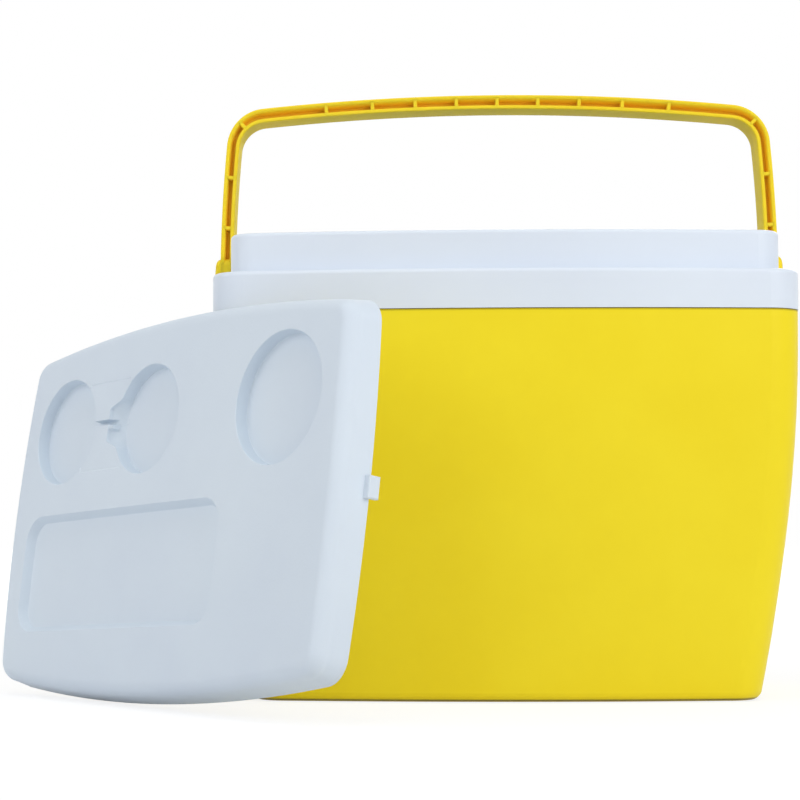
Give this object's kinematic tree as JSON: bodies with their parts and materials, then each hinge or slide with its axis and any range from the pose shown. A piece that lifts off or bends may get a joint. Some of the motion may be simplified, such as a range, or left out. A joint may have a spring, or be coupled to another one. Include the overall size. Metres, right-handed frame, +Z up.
{
  "type": "vaccine carrier",
  "caption": "Insulated box with a lift-off lid leaning against it, a folding bail handle, a plastic liner, and an inner tray between removable ice packs.",
  "frame": {"origin": "centre of the box's flat base, on the floor it stands on", "axes": "+X along the box's long side, -Y out of its front, +Z up"},
  "size_m": [0.6639, 0.5323, 0.5079],
  "materials": {
    "yellow_shell": "satin",
    "yellow_handle": "satin",
    "white_collar": "satin",
    "white_lid": "satin",
    "white_liner": "satin",
    "foam": "matte",
    "pin_white": "satin",
    "pack_blue": "satin",
    "pack_cap_white": "satin",
    "tray_clear": "satin"
  },
  "bodies": {
    "carrier": {"outer_shell": "yellow_shell", "collar": "white_collar", "inner_liner": "white_liner", "wall_insulation": "foam", "base_insulation": "foam", "handle_pin_left": "pin_white", "handle_pin_right": "pin_white"},
    "bail": {"handle": "yellow_handle", "hub_cap_left": "yellow_handle", "hub_cap_right": "yellow_handle"},
    "lid": {"lid_cover": "white_lid", "lid_pan": "white_liner", "lid_insulation": "foam", "lid_tongue_left": "white_lid", "lid_tongue_right": "white_lid"},
    "tray": {"vial_tray": "tray_clear"},
    "front_left_pack": {"ice_pack_1": "pack_blue", "ice_pack_cap_1": "pack_cap_white"},
    "front_right_pack": {"ice_pack_2": "pack_blue", "ice_pack_cap_2": "pack_cap_white"},
    "rear_left_pack": {"ice_pack_3": "pack_blue", "ice_pack_cap_3": "pack_cap_white"},
    "rear_right_pack": {"ice_pack_4": "pack_blue", "ice_pack_cap_4": "pack_cap_white"}
  },
  "joints": [
    {"name": "handle_fold", "type": "hinge", "parent": "carrier", "child": "bail", "pos_m": [0, -0.0109, 0.3542], "axis": [1, 0, 0], "range_deg": [0, 90]},
    {"name": "lid_lift", "type": "slide", "parent": "carrier", "child": "lid", "axis": [-0.1344, -0.11, 0.9848], "range_m": [0, 0.45]},
    {"name": "tray_lift", "type": "slide", "parent": "carrier", "child": "tray", "axis": [0, 0, 1], "range_m": [0, 0.37]},
    {"name": "front_left_pack_lift", "type": "slide", "parent": "carrier", "child": "front_left_pack", "axis": [0, 0, 1], "range_m": [0, 0.37]},
    {"name": "front_right_pack_lift", "type": "slide", "parent": "carrier", "child": "front_right_pack", "axis": [0, 0, 1], "range_m": [0, 0.37]},
    {"name": "rear_left_pack_lift", "type": "slide", "parent": "carrier", "child": "rear_left_pack", "axis": [0, 0, 1], "range_m": [0, 0.37]},
    {"name": "rear_right_pack_lift", "type": "slide", "parent": "carrier", "child": "rear_right_pack", "axis": [0, 0, 1], "range_m": [0, 0.37]}
  ]
}
